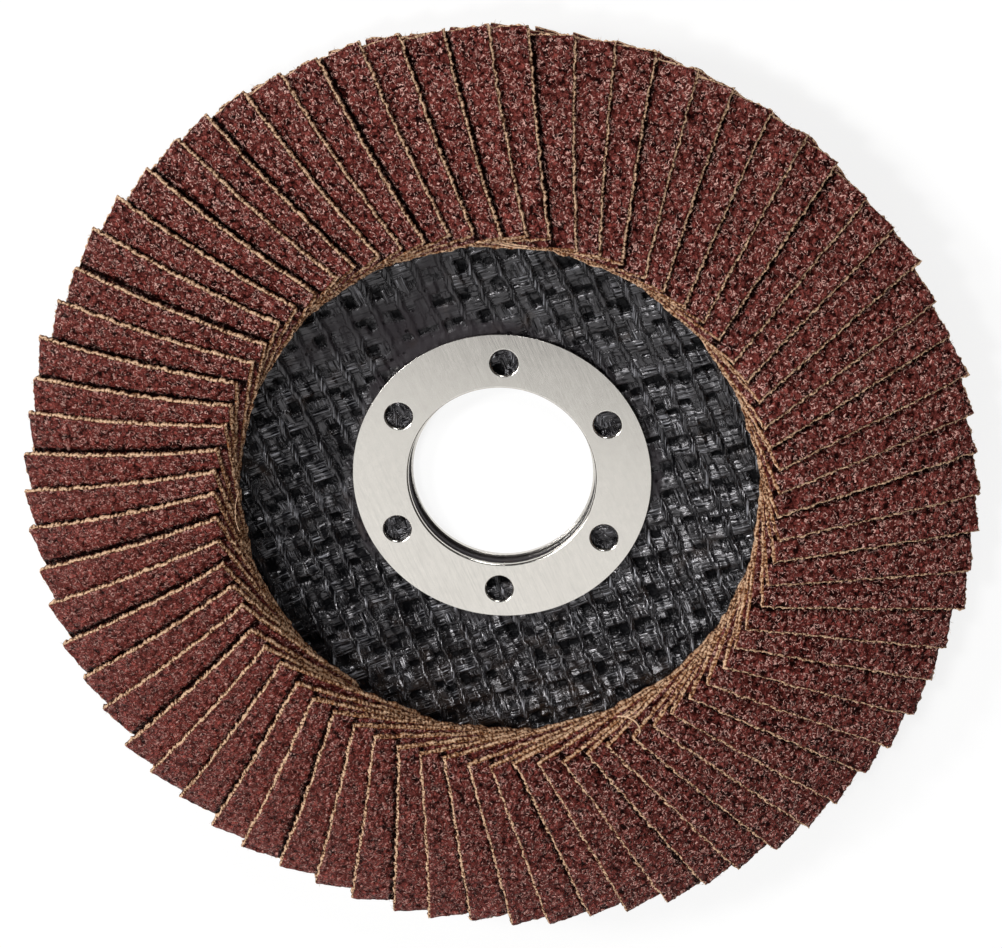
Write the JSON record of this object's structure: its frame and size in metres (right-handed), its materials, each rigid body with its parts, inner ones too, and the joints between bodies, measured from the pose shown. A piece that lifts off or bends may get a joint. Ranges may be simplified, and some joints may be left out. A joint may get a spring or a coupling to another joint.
{
  "type": "flap disc",
  "caption": "Abrasive flap disc: overlapping coated-cloth flaps glued in a ring on a dished woven glass plate with steel hub rings and a plain bore.",
  "frame": {"origin": "centre of the bore on the rear face of the hub", "axes": "+Z out of the abrasive face along the bore; the disc rests on its rear hub face with the flaps upwards"},
  "size_m": [0.1163, 0.1165, 0.0135],
  "materials": {
    "hub_steel": "satin rolled sheet steel with fine rolling lines",
    "glass_laminate": "black phenolic resin over woven glass strands, half glossy",
    "resin_glue": "cured resin, dull brown",
    "abrasive_cloth": "coarse dark red-brown grain in resin on tan cloth"
  },
  "bodies": {
    "root": {"hub_ring": "hub_steel", "hub_collar": "hub_steel", "backing_plate": "glass_laminate", "adhesive_bed": "resin_glue", "flaps_01": "abrasive_cloth", "flaps_02": "abrasive_cloth", "flaps_03": "abrasive_cloth", "flaps_04": "abrasive_cloth", "flaps_05": "abrasive_cloth", "flaps_06": "abrasive_cloth", "flaps_07": "abrasive_cloth", "flaps_08": "abrasive_cloth", "flaps_09": "abrasive_cloth", "flaps_10": "abrasive_cloth", "flaps_11": "abrasive_cloth", "flaps_12": "abrasive_cloth", "flaps_13": "abrasive_cloth", "flaps_14": "abrasive_cloth", "flaps_15": "abrasive_cloth", "flaps_16": "abrasive_cloth", "flaps_17": "abrasive_cloth", "flaps_18": "abrasive_cloth", "flaps_19": "abrasive_cloth", "flaps_20": "abrasive_cloth", "flaps_21": "abrasive_cloth", "flaps_22": "abrasive_cloth", "flaps_23": "abrasive_cloth", "flaps_24": "abrasive_cloth", "flaps_25": "abrasive_cloth", "flaps_26": "abrasive_cloth", "flaps_27": "abrasive_cloth", "flaps_28": "abrasive_cloth", "flaps_29": "abrasive_cloth", "flaps_30": "abrasive_cloth", "flaps_31": "abrasive_cloth", "flaps_32": "abrasive_cloth", "flaps_33": "abrasive_cloth", "flaps_34": "abrasive_cloth", "flaps_35": "abrasive_cloth", "flaps_36": "abrasive_cloth"}
  },
  "joints": []
}
